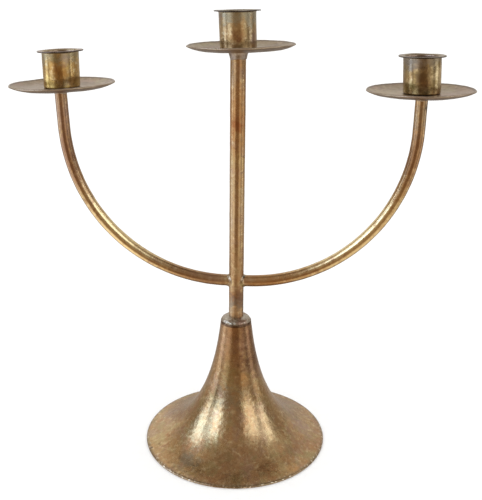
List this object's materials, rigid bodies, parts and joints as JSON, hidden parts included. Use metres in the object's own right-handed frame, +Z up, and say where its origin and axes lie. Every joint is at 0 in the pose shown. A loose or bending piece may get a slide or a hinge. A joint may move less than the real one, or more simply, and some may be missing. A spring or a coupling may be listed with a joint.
{
  "type": "candelabra",
  "caption": "Tabletop candelabra for taper candles: a hammered trumpet foot, an upright stem, curved side arms, and a cup over a drip pan at each rod's end.",
  "frame": {"origin": "centre of the foot, on the surface that the candelabra stands on", "axes": "+Z up along the stem; the side arms lie along X, and the front faces -Y"},
  "size_m": [0.3153, 0.14, 0.3233],
  "materials": {
    "hammered_brass": "raised sheet with close hammer marks, worn bright on the flare, brown patina elsewhere",
    "rod_brass": "drawn rod, brown patina rubbed bright along its sides",
    "pan_brass": "sheet dulled to a greyish pink-brown, darker underneath",
    "cup_brass": "drawn cup, rubbed bright below a greenish patina at the lip",
    "screw_brass": "turned screw, dulled",
    "plug_brass": "turned bush, unpolished",
    "solder": "dull grey soft solder, hand run and left rough"
  },
  "bodies": {
    "root": {"arm_left": "rod_brass", "arm_right": "rod_brass", "base_trumpet": "hammered_brass", "candle_cup_center": "cup_brass", "candle_cup_left": "cup_brass", "candle_cup_right": "cup_brass", "crossing_solder_left": "solder", "crossing_solder_right": "solder", "cup_screw_center": "screw_brass", "cup_screw_left": "screw_brass", "cup_screw_right": "screw_brass", "drip_pan_center": "pan_brass", "drip_pan_left": "pan_brass", "drip_pan_right": "pan_brass", "neck_plug": "plug_brass", "neck_solder": "solder", "pan_solder_center": "solder", "pan_solder_left": "solder", "pan_solder_right": "solder", "stem": "rod_brass"}
  },
  "joints": []
}
